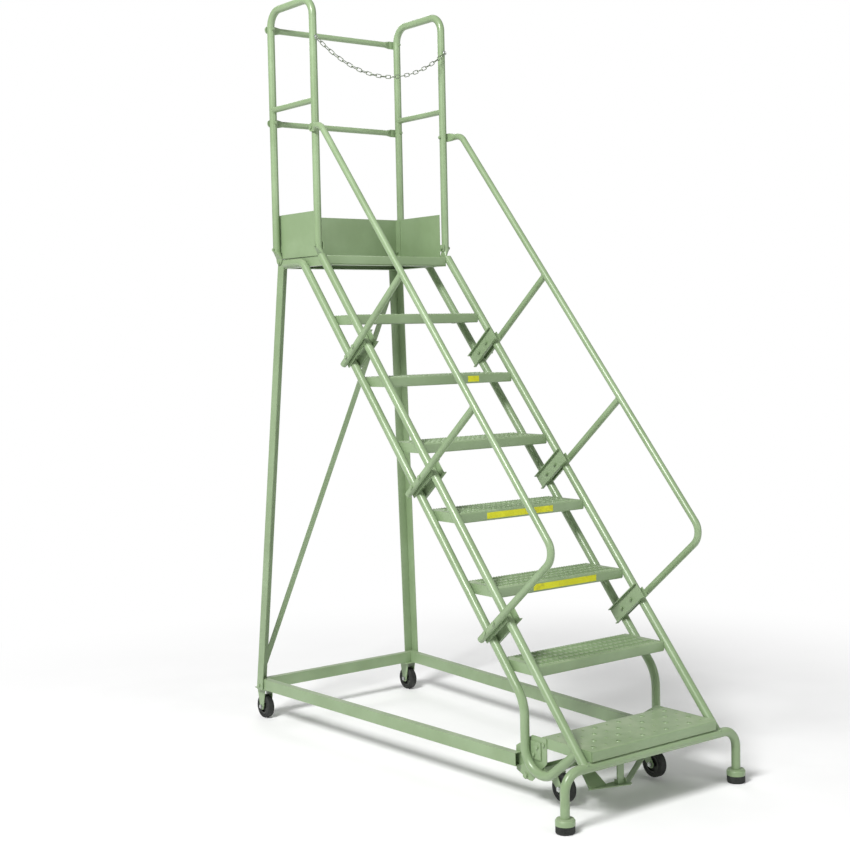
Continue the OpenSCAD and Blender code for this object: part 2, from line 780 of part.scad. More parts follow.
module rear_forks() {
    top = rail_low_z - gap;
    crown = top - 5;
    color(paint) for (side = [LEFT, RIGHT]) on_side(side) {
        fork_legs(rear_wheel_x, axle_y, rear_wheel_z, 0, crown + 0.5, 62);
        translate([rear_wheel_x - fork_x - fork_t, axle_y - 38, crown]) cube([2 * (fork_x + fork_t), 76, 5]);
        translate([rear_wheel_x - 38, axle_y - 44, top - 3]) cube([64, 90, 3]);
    }
}

module rear_axles() { for (side = [LEFT, RIGHT]) axle(side * rear_wheel_x, axle_y, rear_wheel_z); }

// ---- Caster carrier --------------------------------------------------------

// Turns the rolling state into the parked one
module parked() {
    translate([0, pivot_y, pivot_z]) rotate([-carrier_swing, 0, 0]) translate([0, -pivot_y, -pivot_z]) children();
}

module caster_carrier() {
    front = swivel_y - 40;
    back = swivel_y + 40;
    arm = [[front, carrier_z - 4], [pivot_y - 6, 86], [pivot_y + 14, 86], [pivot_y + 14, carrier_z + 6],
        [back, carrier_z + 22], [front, carrier_z + 22]];
    color(paint) parked() difference() {
        union() {
            translate([-arm_x, front, carrier_z]) cube([2 * arm_x, back - front, 4]);
            for (y = [front, back - 4]) translate([-arm_x, y, carrier_z]) cube([2 * arm_x, 4, 22]);
            for (side = [LEFT, RIGHT]) on_side(side)
                side_plane(arm_x - plate_t) linear_extrude(plate_t) polygon(arm);
        }
        for (side = [LEFT, RIGHT]) translate([side * arm_x, pivot_y, pivot_z]) rotate([0, 90, 0])
            cylinder(r = pivot_r + run_gap, h = 30, center = true);
        for (side = [LEFT, RIGHT]) translate([side * caster_x, swivel_y, carrier_z - 1])
            cylinder(r = swivel_r + 8, h = 10);
    }
}

// Mounting plate and upper race of each swivel caster
module caster_plates() {
    color(steel) parked() for (side = [LEFT, RIGHT]) translate([side * caster_x, swivel_y, 0]) difference() {
        union() {
            translate([-45, -34, caster_plate_z]) cube([90, 68, carrier_z - caster_plate_z - gap]);
            translate([0, 0, race_z + gap]) cylinder(r = 25, h = caster_plate_z - race_z - gap + 1);
        }
        translate([0, 0, race_z - 10]) cylinder(r = swivel_r + run_gap, h = 40);
    }
}

module front_fork(side) {
    x = side * caster_x;
    color(paint) parked() {
        fork_legs(x, rolling_axle_y, rolling_axle_z, caster_trail, crown_z + 0.5, 52);
        translate([x - fork_x - fork_t, swivel_y - 30, crown_z]) cube([2 * (fork_x + fork_t), 60, race_z - crown_z]);
        translate([x, swivel_y, crown_z + 1]) cylinder(r = 27, h = race_z - crown_z - 1);
        translate([x, swivel_y, crown_z]) cylinder(r = swivel_r, h = carrier_z + 8 - crown_z);
        translate([x, swivel_y, carrier_z + gap]) cylinder(d = 20, h = 7, $fn = 6);
    }
}

module front_axle(side) { parked() axle(side * caster_x, rolling_axle_y, rolling_axle_z); }

module front_hub(side) { parked() hub(side * caster_x, rolling_axle_y, rolling_axle_z); }

module front_tyre(side) { parked() tyre(side * caster_x, rolling_axle_y, rolling_axle_z); }

// ---- Lock pedal and latch --------------------------------------------------

// Foot blade hung from the carrier's front face by a sloping arm on the left and a bar on the right
module lock_pedal() {
    blade_z = 58;
    blade_back = strap_y + 28;
    face_y = swivel_y - 40 - gap;
    tab_x = 190;
    tab_mid = parked_point(face_y - 2, carrier_z + 8);
    color(paint) {
        difference() {
            translate([strap_x, strap_y, blade_z]) linear_extrude(4)
                polygon([[-140, 20], [18, -32], [36, -22], [36, 28], [-130, 28]]);
            translate([strap_x - strap_w / 2 - 1, strap_y - 6, blade_z - 1]) cube([strap_w + 2, 12, 6]);
        }
        pedal_ears(blade_z);
        hull() {
            translate([strap_x - 130, blade_back - 6, blade_z]) cube([81, 6, 4]);
            parked() translate([strap_x - 120, face_y - 4, carrier_z + 2]) cube([40, 4, 8]);
        }
        parked() translate([strap_x - 126, face_y - 4, carrier_z]) cube([52, 4, 22]);
        parked() translate([tab_x, face_y - 4, carrier_z]) cube([44, 4, 22]);
        difference() {
            pedal_bar([strap_x + 26, strap_y - 5, blade_z + 2], [tab_x + 22, tab_mid[0], tab_mid[1]]);
            parked() translate([0, face_y - 1, carrier_z - 30]) cube([300, 60, 90]);
        }
    }
}

// Ears on the blade that hold the latch strap's pin
module pedal_ears(z) {
    for (x = [strap_x - strap_w / 2 - 5, strap_x + strap_w / 2 + 1]) difference() {
        translate([x, strap_y - 10, z]) cube([4, 20, 20]);
        translate([x - 1, strap_y, strap_pin_z]) rotate([0, 90, 0]) cylinder(r = 3 + gap / 2, h = 6);
    }
}

module pedal_bar(a, b) {
    d = b - a;
    translate(a) rotate([0, acos(d[2] / norm(d)), atan2(d[1], d[0])]) translate([0, -11, 0]) rotate([0, -90, 0])
        translate([0, 0, -2]) cube([norm(d), 22, 4]);
}

function parked_point(y, z) = [
    pivot_y + (y - pivot_y) * cos(carrier_swing) + (z - pivot_z) * sin(carrier_swing),
    pivot_z - (y - pivot_y) * sin(carrier_swing) + (z - pivot_z) * cos(carrier_swing)
];

// Upright strap pinned to the blade; pressed down, its hook catches under the guide
module latch_strap() {
    hook = 9;
    color(paint) {
        translate([strap_x - strap_w / 2, strap_y - strap_t / 2, strap_pin_z - 8])
            cube([strap_w, strap_t, strap_top_z - strap_pin_z + 8]);
        translate([strap_x - strap_w / 2, strap_y - strap_t / 2 - hook, guide_z + latch_drop - hook - 3 * gap])
            cube([strap_w, hook + 1, hook]);
        translate([strap_x, strap_y, strap_pin_z]) rotate([0, 90, 0]) cylinder(r = 3, h = strap_w + 14, center = true);
    }
}

// Hanger below the bottom tread with a slot for the strap
module latch_guide() {
    t = 3;
    w = 60;
    front = strap_y - 70;
    back = strap_y + 70;
    top = bottom_step_z - sheet - gap;
    color(paint) translate([strap_x - w / 2, 0, 0]) difference() {
        union() {
            translate([0, front, guide_z]) cube([w, back - front, t]);
            for (y = [front, back - t]) translate([0, y, guide_z]) cube([w, t, top - guide_z]);
            for (y = [front - 20, back - t]) translate([0, y, top - t]) cube([w, 20 + t, t]);
        }
        translate([(w - strap_w) / 2 - 1.5, strap_y - 14, guide_z - 1]) cube([strap_w + 3, 36, t + 2]);
    }
}

// ---- Chain -----------------------------------------------------------------

// A link along X whose inner length is one step and some play
module chain_link() {
    r = (link_w - link_wire) / 2;
    half = (link_step + link_wire + link_play) / 2 - r;
    for (s = [-1, 1]) {
        translate([s * half, 0, 0]) rotate([0, 0, s > 0 ? -90 : 90])
            rotate_extrude(angle = 180) translate([r, 0]) circle(d = link_wire);
        translate([-half - link_seam, s * r, 0]) rotate([0, 90, 0])
            cylinder(d = link_wire - link_seam, h = 2 * (half + link_seam));
    }
}

// Links at equal steps along a catenary between the two eyes
module chain() {
    color(steel) for (i = [0:chain_links - 1]) {
        s = (i - (chain_links - 1) / 2) * link_step;
        translate([
            chain_a * asinh(s / chain_a),
            eye_y,
            eye_z - chain_sag + sqrt(chain_a * chain_a + s * s) - chain_a
        ]) rotate([0, -atan(s / chain_a), 0]) rotate([i % 2 == 0 ? 0 : 90, 0, 0]) chain_link();
    }
}

// Eye bolts through the front posts; each ring stands in front of its post
module chain_eyes() {
    back = post_front_y + guard_d / 2 + gap;
    color(steel) for (x = [-post_x, post_x]) {
        translate([x, eye_y, eye_z]) rotate([90, 0, 0]) rotate_extrude() translate([eye_r, 0]) circle(d = eye_wire);
        translate([x, 0, eye_z + eye_r]) rotate([-90, 0, 0]) {
            translate([0, 0, eye_y]) cylinder(d = eye_stud_d, h = back + 8 - eye_y);
            translate([0, 0, back]) cylinder(d = 11.5, h = 5, $fn = 6);
            translate([0, 0, post_front_y - guard_d / 2 - gap - 4]) cylinder(d = 11.5, h = 4, $fn = 6);
        }
    }
}

// ---- Fasteners -------------------------------------------------------------

module guard_bolts() {
    flat_out = post_flat_x + flat_t + gap;
    round_out = post_x + guard_d / 2 + gap;
    color(paint) for (side = [LEFT, RIGHT]) on_side(side) {
        for (y = [post_front_y, post_back_y]) {
            translate([flat_out, y, post_bolt_z[0]]) bolt(flat_out - inner_x + sheet + 2 * gap);
            translate([round_out, y, post_bolt_z[1]])
                bolt(round_out - toe_x + sheet + gap + (y == post_back_y ? sheet + gap : 0));
        }
        translate([inner_x + gap, post_front_y, post_bolt_z[0]]) rotate([0, 90, 0]) difference() {
            cylinder(d = 18, h = post_flat_x - inner_x - 2 * gap);
            translate([0, 0, -1]) cylinder(d = 8 + 2 * gap, h = 10);
        }
        for (z = bar_z) translate([post_x, bar_y + flat_t / 2 + gap, z]) rotate([0, 0, 90])
            bolt(flat_t + guard_d + bend_swell + 4 * gap);
        translate([round_out + flat_t + gap, post_front_y, rail_top_z]) bolt(flat_t + guard_d + 4 * gap);
    }
}

module frame_bolts() {
    color(paint) for (side = [LEFT, RIGHT]) on_side(side) {
        for (t = clamp_at, u = clamp_bolt_u)
            translate([rail_x + rail_d / 2 + gap, on_slope(t, u)[0], on_slope(t, u)[1]])
                bolt(rail_x + rail_d / 2 - inner_x + plate_t + 2 * gap);
        for (b = plate_bolts) translate([inner_x + 4 + 2 * gap, b[0], b[1]]) bolt(4 + plate_t + 4 * gap);
        translate([plate_x + gap, step_bolt[0], step_bolt[1]]) bolt(plate_t + sheet + 3 * gap);
        translate(leg_bolt) bolt(angle_t + rail_t + 4);
        translate([plate_x + gap, pivot_y, pivot_z]) bolt(2 * plate_t + 3 * gap, 2 * pivot_r);
    }
    color(paint) brace_frame() for (p = brace_ends)
        translate([p[0], 4 + gap, p[1]]) rotate([0, 0, 90]) bolt(12, 6);
}

front_stringer(LEFT);  // front_stringer_left
front_stringer(RIGHT);  // front_stringer_right
rear_stringer(LEFT);  // rear_stringer_left
rear_stringer(RIGHT);  // rear_stringer_right
foot_tube();
foot_collars();
rubber_foot(LEFT);  // rubber_foot_left
rubber_foot(RIGHT);  // rubber_foot_right
bottom_step();  // step_1
grid_step(2);  // step_2
grid_step(3);  // step_3
grid_step(4);  // step_4
grid_step(5);  // step_5
grid_step(6);  // step_6
grid_step(7);  // step_7
platform_deck();
platform_frame();
toe_board_side(LEFT);  // toe_board_left
toe_board_side(RIGHT);  // toe_board_right
toe_board_rear();
guard_frame(LEFT);  // guard_frame_left
guard_frame(RIGHT);  // guard_frame_right
mid_rails();
crossbar(bar_z[1]);  // crossbar_upper
crossbar(bar_z[0]);  // crossbar_lower
handrail(LEFT);  // handrail_left
handrail(RIGHT);  // handrail_right
handrail_struts();
rail_clamps();
rear_leg(LEFT);  // rear_leg_left
rear_leg(RIGHT);  // rear_leg_right
rear_brace();
base_rail(LEFT);  // base_rail_left
base_rail(RIGHT);  // base_rail_right
base_rail_rear();
base_plates();
rear_forks();
rear_axles();
hub(-rear_wheel_x, axle_y, rear_wheel_z);  // rear_hub_left
hub(rear_wheel_x, axle_y, rear_wheel_z);  // rear_hub_right
tyre(-rear_wheel_x, axle_y, rear_wheel_z);  // rear_tyre_left
tyre(rear_wheel_x, axle_y, rear_wheel_z);  // rear_tyre_right
caster_carrier();
caster_plates();
front_fork(LEFT);  // front_fork_left
front_fork(RIGHT);  // front_fork_right
front_axle(LEFT);  // front_axle_left
front_axle(RIGHT);  // front_axle_right
front_hub(LEFT);  // front_hub_left
front_hub(RIGHT);  // front_hub_right
front_tyre(LEFT);  // front_tyre_left
front_tyre(RIGHT);  // front_tyre_right
lock_pedal();
latch_strap();
latch_guide();
chain();
chain_eyes();
guard_bolts();
frame_bolts();
marking_strips();
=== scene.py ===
"""Looks of a rolling warehouse ladder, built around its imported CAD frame."""

import json
import math
import random

import bmesh
import bpy
from mathutils import Matrix, Vector
from mathutils.geometry import delaunay_2d_cdt


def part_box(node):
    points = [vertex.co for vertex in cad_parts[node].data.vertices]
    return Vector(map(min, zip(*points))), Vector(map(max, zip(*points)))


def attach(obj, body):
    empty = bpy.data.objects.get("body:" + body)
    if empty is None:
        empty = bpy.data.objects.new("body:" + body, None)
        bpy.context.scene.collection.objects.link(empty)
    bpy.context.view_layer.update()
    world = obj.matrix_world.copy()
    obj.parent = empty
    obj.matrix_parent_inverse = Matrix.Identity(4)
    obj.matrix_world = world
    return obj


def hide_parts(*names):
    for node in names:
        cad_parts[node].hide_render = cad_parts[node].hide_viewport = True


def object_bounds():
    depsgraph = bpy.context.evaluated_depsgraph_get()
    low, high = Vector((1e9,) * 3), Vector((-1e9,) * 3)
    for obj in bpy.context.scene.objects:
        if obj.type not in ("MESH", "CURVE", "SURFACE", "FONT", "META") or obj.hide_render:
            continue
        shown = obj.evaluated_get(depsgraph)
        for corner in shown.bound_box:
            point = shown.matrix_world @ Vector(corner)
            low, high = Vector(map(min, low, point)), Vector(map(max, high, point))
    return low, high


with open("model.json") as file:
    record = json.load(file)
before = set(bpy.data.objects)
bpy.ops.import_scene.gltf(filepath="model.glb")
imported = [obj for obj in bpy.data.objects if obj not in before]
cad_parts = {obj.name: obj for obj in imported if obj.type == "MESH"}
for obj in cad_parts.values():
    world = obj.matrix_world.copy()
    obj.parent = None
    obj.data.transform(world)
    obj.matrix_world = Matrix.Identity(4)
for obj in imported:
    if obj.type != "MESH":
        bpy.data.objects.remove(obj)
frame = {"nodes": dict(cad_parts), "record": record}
CAD_LOW, CAD_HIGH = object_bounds()
NODES = frame["nodes"]
MM = 0.001
SEED = 7


# ---- Materials -------------------------------------------------------------


class Shader:
    """A material under construction, with short names for the nodes it needs."""

    def __init__(self, name):
        self.material = bpy.data.materials.new(name)
        self.material.use_nodes = True
        self.tree = self.material.node_tree
        self.surface = self.tree.nodes["Principled BSDF"]
        self.coords = self.node("ShaderNodeTexCoord").outputs["Object"]

    def node(self, kind, **settings):
        made = self.tree.nodes.new(kind)
        for name, value in settings.items():
            setattr(made, name, value)
        return made

    def feed(self, socket, value):
        """Links an output to socket, or sets the socket to a plain value."""
        if isinstance(value, bpy.types.NodeSocket):
            self.tree.links.new(value, socket)
        else:
            socket.default_value = value

    def noise(self, scale, detail=3.0, roughness=0.55, stretch=(1, 1, 1)):
        mapping = self.node("ShaderNodeMapping")
        self.feed(mapping.inputs["Vector"], self.coords)
        mapping.inputs["Scale"].default_value = stretch
        made = self.node("ShaderNodeTexNoise")
        self.feed(made.inputs["Vector"], mapping.outputs["Vector"])
        made.inputs["Scale"].default_value = scale
        made.inputs["Detail"].default_value = detail
        made.inputs["Roughness"].default_value = roughness
        return made.outputs["Fac"]

    def cells(self, scale, feature="F1", output="Distance"):
        made = self.node("ShaderNodeTexVoronoi", feature=feature)
        self.feed(made.inputs["Vector"], self.coords)
        made.inputs["Scale"].default_value = scale
        return made.outputs[output]

    def calc(self, operation, a, b=0.0):
        """The result of a math node on two numbers or outputs."""
        made = self.node("ShaderNodeMath", operation=operation)
        self.feed(made.inputs[0], a)
        self.feed(made.inputs[1], b)
        return made.outputs[0]

    def between(self, value, low, high, out_low=0.0, out_high=1.0):
        """Maps low..high to out_low..out_high, clamped and eased."""
        made = self.node("ShaderNodeMapRange", interpolation_type="SMOOTHSTEP")
        self.feed(made.inputs["Value"], value)
        limits = {"From Min": low, "From Max": high, "To Min": out_low, "To Max": out_high}
        for name, number in limits.items():
            made.inputs[name].default_value = number
        return made.outputs["Result"]

    def mix(self, share, a, b):
        made = self.node("ShaderNodeMix", data_type="RGBA")
        self.feed(made.inputs["Factor"], share)
        self.feed(made.inputs["A"], rgba(a))
        self.feed(made.inputs["B"], rgba(b))
        return made.outputs["Result"]

    def edges(self, radius):
        """1 on hard edges within radius, 0 on flats; and the normal with those edges rounded."""
        bevel = self.node("ShaderNodeBevel", samples=4)
        bevel.inputs["Radius"].default_value = radius
        geometry = self.node("ShaderNodeNewGeometry")
        dot = self.node("ShaderNodeVectorMath", operation="DOT_PRODUCT")
        self.feed(dot.inputs[0], bevel.outputs["Normal"])
        self.feed(dot.inputs[1], geometry.outputs["Normal"])
        return self.between(dot.outputs["Value"], 0.99, 0.8), bevel.outputs["Normal"]

    def upward(self, low, high):
        """Share by which the surface faces up."""
        geometry = self.node("ShaderNodeNewGeometry")
        split = self.node("ShaderNodeSeparateXYZ")
        self.feed(split.inputs[0], geometry.outputs["Normal"])
        return self.between(split.outputs["Z"], low, high)

    def bump(self, height, distance, normal=None):
        made = self.node("ShaderNodeBump")
        made.inputs["Distance"].default_value = distance
        self.feed(made.inputs["Height"], height)
        if normal is not None:
            self.feed(made.inputs["Normal"], normal)
        return made.outputs["Normal"]

    def finish(self, colour, roughness, normal, metallic=0.0, **extra):
        self.feed(self.surface.inputs["Base Color"], rgba(colour))
        self.feed(self.surface.inputs["Roughness"], roughness)
        self.feed(self.surface.inputs["Metallic"], metallic)
        self.feed(self.surface.inputs["Normal"], normal)
        for name, value in extra.items():
            self.surface.inputs[name.replace("_", " ")].default_value = value
        return self.material


def rgba(colour):
    """A linear colour as four numbers; outputs pass through."""
    return (*colour, 1.0) if isinstance(colour, tuple) and len(colour) == 3 else colour


def srgb(red, green, blue):
    """Linear colour of an 8-bit display colour."""
    shares = (red / 255, green / 255, blue / 255)
    return tuple(c / 12.92 if c <= 0.04045 else ((c + 0.055) / 1.055) ** 2.4 for c in shares)


def green_paint(name, tread=False):
    """Sage-green enamel over steel: cloudy tone, orange peel, dust on top faces, rubbed edges and
    fine scratches. A tread's edges are chipped more deeply."""
    s = Shader(name)
    base = srgb(134, 156, 117)
    cloud = s.noise(3.5, 4, 0.6)
    speckle = s.noise(420, 2, 0.7)
    colour = s.mix(s.between(cloud, 0.35, 0.68), srgb(129, 151, 112), srgb(140, 162, 124))
    colour = s.mix(s.between(speckle, 0.62, 0.8, 0, 0.35), colour, srgb(108, 130, 93))
    dust = s.calc(
        "MULTIPLY", s.upward(0.55, 0.98), s.between(s.noise(14, 5, 0.65), 0.4, 0.7, 0.12, 0.5)
    )
    colour = s.mix(dust, colour, srgb(166, 176, 148))
    edge, round_normal = s.edges(0.9 * MM)
    chips = s.calc("MULTIPLY", edge, s.between(s.noise(95, 4, 0.7), 0.5, 0.6))
    rub = s.calc("MULTIPLY", edge, s.between(s.noise(9, 3), 0.4, 0.65, 0.15, 0.7))
    colour = s.mix(rub, colour, srgb(160, 182, 138))
    colour = s.mix(s.calc("MULTIPLY", chips, 0.8 if tread else 0.45), colour, srgb(84, 92, 80))
    scratch = s.between(s.noise(55, 2, 0.5, (1, 14, 14)), 0.715, 0.735, 0, 0.45)
    scratch = s.calc("MULTIPLY", scratch, s.between(s.noise(4.5, 2), 0.52, 0.66))
    colour = s.mix(scratch, colour, srgb(176, 190, 160))
    peel = s.noise(330, 2, 0.45)
    wave = s.noise(60, 2, 0.5)
    height = s.calc("ADD", s.calc("MULTIPLY", peel, 0.35), s.calc("MULTIPLY", wave, 0.65))
    height = s.calc("SUBTRACT", height, s.calc("MULTIPLY", s.calc("ADD", chips, scratch), 0.6))
    rough = s.calc(
        "ADD", s.between(s.noise(22, 4), 0.3, 0.75, 0.3, 0.44), s.calc("MULTIPLY", dust, 0.3)
    )
    rough = s.calc("ADD", rough, s.calc("MULTIPLY", chips, 0.25))
    s.material.diffuse_color = rgba(base)
    normal = s.bump(height, 0.12 * MM, round_normal)
    return s.finish(colour, rough, normal, Coat_Weight=0.25, Coat_Roughness=0.22)


def rubber(name, shade):
    """Moulded rubber: dull black with a grey bloom, fine grain and scuffs."""
    s = Shader(name)
    bloom = tuple(c * 2.1 + 0.006 for c in shade)
    colour = s.mix(s.between(s.noise(18, 5, 0.7), 0.35, 0.75), shade, bloom)
    scuff = s.between(s.noise(120, 5, 0.75, (1, 1, 3)), 0.6, 0.78, 0, 0.5)
    colour = s.mix(scuff, colour, srgb(92, 94, 88))
    edge, round_normal = s.edges(0.8 * MM)
    colour = s.mix(s.calc("MULTIPLY", edge, 0.35), colour, srgb(96, 98, 92))
    grain = s.noise(900, 3, 0.6)
    rough = s.between(s.noise(35, 4), 0.3, 0.7, 0.55, 0.82)
    return s.finish(colour, rough, s.bump(grain, 0.15 * MM, round_normal))


def hub_plastic(name):
    """Dark moulded wheel centre with swirl marks and dust."""
    s = Shader(name)
    colour = s.mix(s.between(s.noise(30, 5, 0.7), 0.35, 0.75), srgb(42, 45, 42), srgb(66, 70, 64))
    dust = s.between(s.noise(60, 5, 0.7), 0.5, 0.78, 0, 0.4)
    colour = s.mix(dust, colour, srgb(120, 122, 112))
    _, round_normal = s.edges(0.8 * MM)
    rough = s.between(s.noise(80, 3), 0.3, 0.7, 0.38, 0.6)
    return s.finish(colour, rough, s.bump(s.noise(600, 2), 0.1 * MM, round_normal))


def zinc_steel(name, dark, light):
    """Zinc-plated steel: spangled tone between dark and light, brushed bump and dull patches."""
    s = Shader(name)
    tone = s.cells(260, output="Color")
    bright = s.node("ShaderNodeRGBToBW")
    s.feed(bright.inputs[0], tone)
    colour = s.mix(s.between(bright.outputs[0], 0.2, 0.8), dark, light)
    stain = s.between(s.noise(45, 5, 0.7), 0.52, 0.72, 0, 0.7)
    colour = s.mix(stain, colour, srgb(118, 116, 106))
    _, round_normal = s.edges(0.4 * MM)
    rough = s.calc(
        "ADD", s.between(s.noise(150, 3), 0.3, 0.7, 0.24, 0.42), s.calc("MULTIPLY", stain, 0.25)
    )
    return s.finish(colour, rough, s.bump(s.noise(700, 3), 0.06 * MM, round_normal), metallic=0.9)


def yellow_tape(name):
    """Plain yellow anti-slip strip: gritty face, greyed by shoes."""
    s = Shader(name)
    grit = s.cells(900)
    colour = s.mix(s.between(s.noise(12, 4), 0.35, 0.7), srgb(208, 208, 14), srgb(222, 222, 34))
    dirt = s.between(s.noise(38, 5, 0.75), 0.5, 0.75, 0, 0.55)
    colour = s.mix(dirt, colour, srgb(150, 146, 62))
    colour = s.mix(s.between(grit, 0.0, 0.35, 0.35, 0), colour, srgb(170, 160, 30))
    return s.finish(colour, s.between(grit, 0, 0.7, 0.75, 0.5), s.bump(grit, 0.25 * MM))


PAINT = green_paint("sage_enamel")
TREAD_PAINT = green_paint("sage_enamel_tread", tread=True)
FOOT_RUBBER = rubber("foot_rubber", srgb(30, 33, 30))
TYRE_RUBBER = rubber("tyre_rubber", srgb(24, 26, 24))
HUB = hub_plastic("hub_plastic")
STEEL = zinc_steel("zinc_steel", srgb(168, 172, 172), srgb(208, 210, 208))
CHAIN_STEEL = zinc_steel("chain_steel", srgb(118, 130, 110), srgb(160, 171, 148))
TAPE = yellow_tape("yellow_tape")

SLOT_MATERIAL = {
    "green_paint": PAINT,
    "foot_rubber": FOOT_RUBBER,
    "tyre_rubber": TYRE_RUBBER,
    "wheel_hub": HUB,
    "zinc_steel": STEEL,
    "yellow_tape": TAPE,
}


def dress(obj, material):
    obj.data.materials.clear()
    obj.data.materials.append(material)


def dress_nodes():
    """Gives each CAD node the material of its slot; the chain has a duller steel of its own."""
    for part in frame["record"]["subparts"]:
        material = CHAIN_STEEL if part["node"] == "chain" else SLOT_MATERIAL[part["material_slot"]]
        dress(NODES[part["node"]], material)


dress_nodes()


# ---- Meshes ----------------------------------------------------------------

# Lengths from here on are in millimetres; Shells.mesh turns them into metres.
BEAD_SIDES = 8


def piece(name, mesh, node, body="frame", smooth=35.0):
    """Puts a closed mesh in the scene on its body. node is the CAD node it stands for, or None."""
    bm = bmesh.new()
    bm.from_mesh(mesh)
    bmesh.ops.recalc_face_normals(bm, faces=bm.faces)
    bm.to_mesh(mesh)
    bm.free()
    obj = bpy.data.objects.new(name, mesh)
    bpy.context.scene.collection.objects.link(obj)
    mesh.shade_smooth()
    mesh.set_sharp_from_angle(angle=math.radians(smooth))
    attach(obj, body)
    if node:
        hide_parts(node)
    return obj


class Shells:
    """Collects closed shells of one piece."""

    def __init__(self):
        self.points = []
        self.faces = []

    def ring(self, points):
        start = len(self.points)
        self.points.extend(tuple(p) for p in points)
        return list(range(start, start + len(points)))

    def bridge(self, a, b):
        n = len(a)
        self.faces.extend((a[i], a[(i + 1) % n], b[(i + 1) % n], b[i]) for i in range(n))

    def sweep(self, rings, closed=False):
        """Joins rings of equal length; the ends are capped unless the sweep closes on itself."""
        made = [self.ring(r) for r in rings]
        for a, b in zip(made, made[1:] + (made[:1] if closed else [])):
            self.bridge(a, b)
        if not closed:
            self.faces.append(tuple(reversed(made[0])))
            self.faces.append(tuple(made[-1]))

    def lathe(self, profile, place, axis="X", steps=72):
        """Turns a closed profile of (radius, height) around an axis through place."""
        x, y, z = place
        rings = []
        for k in range(steps):
            c, s = math.cos(2 * math.pi * k / steps), math.sin(2 * math.pi * k / steps)
            if axis == "X":
                rings.append([(x + h, y + r * c, z + r * s) for r, h in profile])
            else:
                rings.append([(x + r * c, y + r * s, z + h) for r, h in profile])
        self.sweep(rings, closed=True)

    def bead(self, path, radius=2.3, closed=True):
        """A rippled weld bead along path."""
        rings = []
        n = len(path)
        for i, p in enumerate(path):
            before = path[i - 1] if closed or i else path[0]
            after = path[(i + 1) % n] if closed or i < n - 1 else path[-1]
            along = (after - before).normalized()
            side = along.orthogonal() if i == 0 else side - side.dot(along) * along
            side = side.normalized()
            other = along.cross(side)
            r = radius * (1.0 + 0.13 * math.sin(i * math.pi / 2) + random.uniform(-0.05, 0.05))
            angles = (2 * math.pi * k / BEAD_SIDES for k in range(BEAD_SIDES))
            rings.append([p + r * (math.cos(a) * side + math.sin(a) * other) for a in angles])
        if closed:
            # Spread the twist between the last ring and the first over the whole bead.
            turned = min(range(BEAD_SIDES), key=lambda k: (rings[-1][k] - rings[0][0]).length)
            for i, ring in enumerate(rings):
                shift = round(turned * i / (n - 1))
                rings[i] = [ring[(k + shift) % BEAD_SIDES] for k in range(BEAD_SIDES)]
        self.sweep(rings, closed=closed)

    def box(self, low, high):
        x0, y0, z0 = low
        x1, y1, z1 = high
        self.sweep([
            [(x0, y0, z), (x1, y0, z), (x1, y1, z), (x0, y1, z)] for z in (z0, z1)
        ])

    def mesh(self, name):
        made = bpy.data.meshes.new(name)
        made.from_pydata([tuple(c * MM for c in p) for p in self.points], [], self.faces)
        return made


def arc(centre, radius, start, end, steps=5):
    """Points from start to end, in degrees, both included."""
    x, y = centre
    angles = (math.radians(start + (end - start) * k / steps) for k in range(steps + 1))
    return [(x + radius * math.cos(a), y + radius * math.sin(a)) for a in angles]


# ---- Treads ----------------------------------------------------------------

GRID_TREADS = range(2, 8)
GRID_PITCH = 25.4
OPENING_WIDTH = 21.0
OPENING_HALF_LENGTH = 21.6
OPENING_TAPER = 12.5
HOLE_PITCH = 60.0
SHEET = 2.6
EDGE = 13.0
LIP_END = 14.0
BEND = 4.5
RIDGE_INSET = 8.5


def hexagon(centre, width, half, taper):
    """A lengthened hexagon with extra points along its sides, one per tooth."""
    corners = [
        (0, -half), (width / 2, taper - half), (width / 2, half - taper),
        (0, half), (-width / 2, half - taper), (-width / 2, taper - half),
    ]
    points = []
    for i, (x, y) in enumerate(corners):
        nx, ny = corners[(i + 1) % 6]
        parts = 4 if abs(nx - x) < 1e-6 else 2
        for k in range(parts):
            points.append((
                centre[0] + x + (nx - x) * k / parts, centre[1] + y + (ny - y) * k / parts
            ))
    return points


def circle(centre, radius, steps=20):
    return arc(centre, radius, 0, 360 * (steps - 1) / steps, steps - 1)


